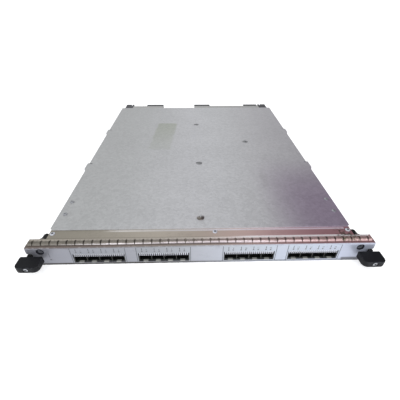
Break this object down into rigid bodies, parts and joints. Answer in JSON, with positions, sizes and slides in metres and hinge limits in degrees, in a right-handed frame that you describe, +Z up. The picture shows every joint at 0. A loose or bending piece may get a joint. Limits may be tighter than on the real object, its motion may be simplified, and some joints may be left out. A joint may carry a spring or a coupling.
{
  "type": "switch line card",
  "caption": "Flat metal network chassis card with a gasketed faceplate, ganged optical module cages, side ejector levers and rear backplane connectors.",
  "frame": {"origin": "middle of the underside of the whole card", "axes": "+X to the right seen from the faceplate, +Y from faceplate to backplane, +Z up out of the cover"},
  "size_m": [0.408, 0.52, 0.031],
  "materials": {
    "galvanised_steel": "fine-grained zinc coat",
    "faceplate_steel": "satin pale grey",
    "spring_contact": "tin-plated spring metal",
    "circuit_board": "solder mask",
    "cage_metal": "nickel-plated",
    "connector_plastic": "moulded",
    "clear_plastic": "clear moulded",
    "black_lever": "black coat",
    "black_grip": "fine texture",
    "bright_fastener": "plated",
    "dark_casting": "dark grey",
    "bare_aluminium": "extruded"
  },
  "bodies": {
    "card": {"backplane_connector_1": "connector_plastic", "backplane_connector_2": "connector_plastic", "backplane_connector_3": "connector_plastic", "base_pan": "galvanised_steel", "board_screws": "bright_fastener", "bracket_rivets": "bright_fastener", "bulk_capacitors": "bare_aluminium", "cage_gasket_1": "spring_contact", "cage_gasket_2": "spring_contact", "cage_gasket_3": "spring_contact", "cage_gasket_4": "spring_contact", "captive_sleeve_left": "bright_fastener", "captive_sleeve_right": "bright_fastener", "cover_dome_screw": "bright_fastener", "cover_edge_screws": "bright_fastener", "cover_middle_screws": "bright_fastener", "cover_pillars": "galvanised_steel", "ejector_bracket_left": "galvanised_steel", "ejector_bracket_right": "galvanised_steel", "emi_finger_strip": "spring_contact", "faceplate": "faceplate_steel", "flange_screws": "bright_fastener", "guide_block_left": "dark_casting", "guide_block_right": "dark_casting", "heat_sink_1": "bare_aluminium", "heat_sink_2": "bare_aluminium", "host_connectors_1": "connector_plastic", "host_connectors_2": "connector_plastic", "host_connectors_3": "connector_plastic", "host_connectors_4": "connector_plastic", "light_pipe_1": "clear_plastic", "light_pipe_2": "clear_plastic", "light_pipe_3": "clear_plastic", "light_pipe_4": "clear_plastic", "main_board": "circuit_board", "memory_chips": "connector_plastic", "packet_processor_1": "connector_plastic", "packet_processor_2": "connector_plastic", "pivot_pin_left": "black_lever", "pivot_pin_right": "black_lever", "power_modules": "connector_plastic", "rear_stiffener": "galvanised_steel", "sfp_cage_1": "cage_metal", "sfp_cage_2": "cage_metal", "sfp_cage_3": "cage_metal", "sfp_cage_4": "cage_metal", "status_lens": "clear_plastic", "top_cover": "galvanised_steel"},
    "left_ejector": {"ejector_lever_left": "black_lever", "ejector_grip_left": "black_grip", "grip_screw_left": "bright_fastener"},
    "right_ejector": {"ejector_lever_right": "black_lever", "ejector_grip_right": "black_grip", "grip_screw_right": "bright_fastener"},
    "left_captive_screw": {"captive_screw_left": "bright_fastener"},
    "right_captive_screw": {"captive_screw_right": "bright_fastener"}
  },
  "joints": [
    {"name": "left_ejector_pivot", "type": "hinge", "parent": "card", "child": "left_ejector", "pos_m": [-0.1906, -0.218, 0.014], "axis": [0, 0, -1], "range_deg": [0, 40]},
    {"name": "right_ejector_pivot", "type": "hinge", "parent": "card", "child": "right_ejector", "pos_m": [0.1906, -0.218, 0.014], "axis": [0, 0, 1], "range_deg": [0, 40]},
    {"name": "left_captive_turn", "type": "hinge", "parent": "card", "child": "left_captive_screw", "pos_m": [-0.182, -0.235, 0.0215], "axis": [0, 1, 0], "continuous": true},
    {"name": "right_captive_turn", "type": "hinge", "parent": "card", "child": "right_captive_screw", "pos_m": [0.182, -0.235, 0.0215], "axis": [0, 1, 0], "continuous": true}
  ]
}
